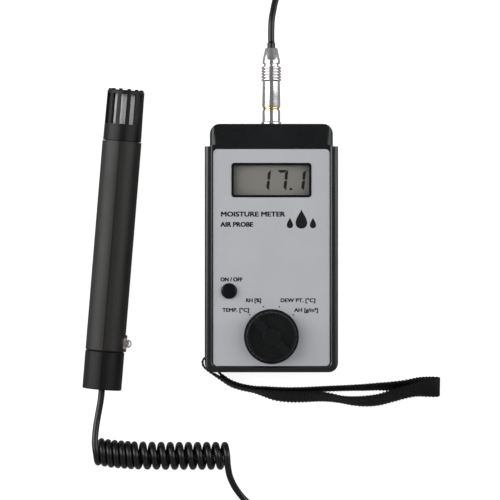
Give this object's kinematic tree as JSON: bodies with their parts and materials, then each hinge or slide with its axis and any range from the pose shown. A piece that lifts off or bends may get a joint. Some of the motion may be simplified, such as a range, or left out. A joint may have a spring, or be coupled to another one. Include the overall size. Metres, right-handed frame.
{
  "type": "moisture meter",
  "caption": "Hand-held air moisture meter in a rubber holster with selector knob, display, wrist strap and a tubular humidity probe on a curly cord.",
  "frame": {"origin": "centre of the meter's back face on the table, midway between the holster's bottom and the case's top", "axes": "+Z out of the meter's face, +Y towards the socket end, +X to the right seen from the face"},
  "size_m": [0.2739, 0.3462, 0.0426],
  "materials": {
    "holster_rubber": "satin, moulded",
    "case_plastic": "fine satin texture",
    "plate_silver": "satin silver print",
    "bezel_black": "semi-gloss",
    "pane_clear": "clear, polished",
    "lcd_grey": "grey reflective display",
    "strip_rubber": "matt",
    "circuit_board": "solder resist",
    "component_black": "moulded",
    "steel": "turned",
    "button_black": "semi-gloss",
    "ivory_plastic": "moulded",
    "knob_black": "satin",
    "battery_jacket": "printed jacket",
    "connector_chrome": "polished",
    "contact_gold": "gold plated",
    "cord_black": "satin",
    "webbing_black": "woven nylon",
    "cage_black": "semi-gloss",
    "sensor_ceramic": "matt",
    "filter_white": "porous, sintered",
    "bead_amber": "resin",
    "seal_grey": "matt",
    "grip_grey": "fine satin",
    "nickel": "polished"
  },
  "bodies": {
    "root": {"holster": "holster_rubber", "rear_shell": "case_plastic", "front_shell": "case_plastic", "face_plate": "plate_silver", "display_bezel": "bezel_black", "display_pane": "pane_clear", "display_glass": "lcd_grey", "contact_strips": "strip_rubber", "main_board": "circuit_board", "board_parts": "component_black", "board_screws": "steel", "push_switch": "component_black", "rotary_switch": "component_black", "panel_nut": "steel", "battery": "battery_jacket", "battery_snap": "component_black", "case_screws": "steel", "socket_shell": "connector_chrome", "socket_nut": "steel", "socket_insulator": "ivory_plastic", "contact_ring": "contact_gold", "plug_body": "connector_chrome", "plug_pins": "contact_gold", "collet_nut": "connector_chrome", "cable_collar": "cord_black", "cord_lead": "cord_black", "cord_curl": "cord_black", "cord_tail": "cord_black", "wrist_strap": "webbing_black", "sensor_cage": "cage_black", "sensor_filter": "filter_white", "sensor_carrier": "circuit_board", "humidity_element": "sensor_ceramic", "temperature_bead": "bead_amber", "cage_seal": "seal_grey", "grip_shell_left": "grip_grey", "grip_shell_right": "grip_grey", "probe_board": "circuit_board", "probe_parts": "component_black", "end_cap": "cage_black", "cord_grommet": "cord_black", "hanger_stud": "nickel", "stud_nut": "steel"},
    "power_button": {"button_cap": "button_black", "switch_plunger": "ivory_plastic"},
    "selector": {"selector_knob": "knob_black", "knob_cap": "knob_black", "selector_shaft": "steel", "knob_screw": "steel"},
    "sleeve": {"release_sleeve": "connector_chrome"},
    "cover": {"battery_cover": "case_plastic"},
    "ring": {"hanger_ring": "nickel"}
  },
  "joints": [
    {"name": "button_press", "type": "slide", "parent": "root", "child": "power_button", "axis": [0, 0, -1], "range_m": [0, 0.0012], "stiffness_N_per_m": 400},
    {"name": "selector_turn", "type": "hinge", "parent": "root", "child": "selector", "pos_m": [0, -0.0537, 0.036], "axis": [0, 0, -1], "range_deg": [0, 90]},
    {"name": "sleeve_pull", "type": "slide", "parent": "root", "child": "sleeve", "axis": [0, 1, 0], "range_m": [0, 0.0012], "stiffness_N_per_m": 500},
    {"name": "cover_slide", "type": "slide", "parent": "root", "child": "cover", "axis": [0, -1, 0], "range_m": [0, 0.008]},
    {"name": "ring_swing", "type": "hinge", "parent": "root", "child": "ring", "pos_m": [-0.08804, -0.05869, 0.012], "axis": [0.0812, 0.9967, 0], "range_deg": [-80, 80]}
  ]
}
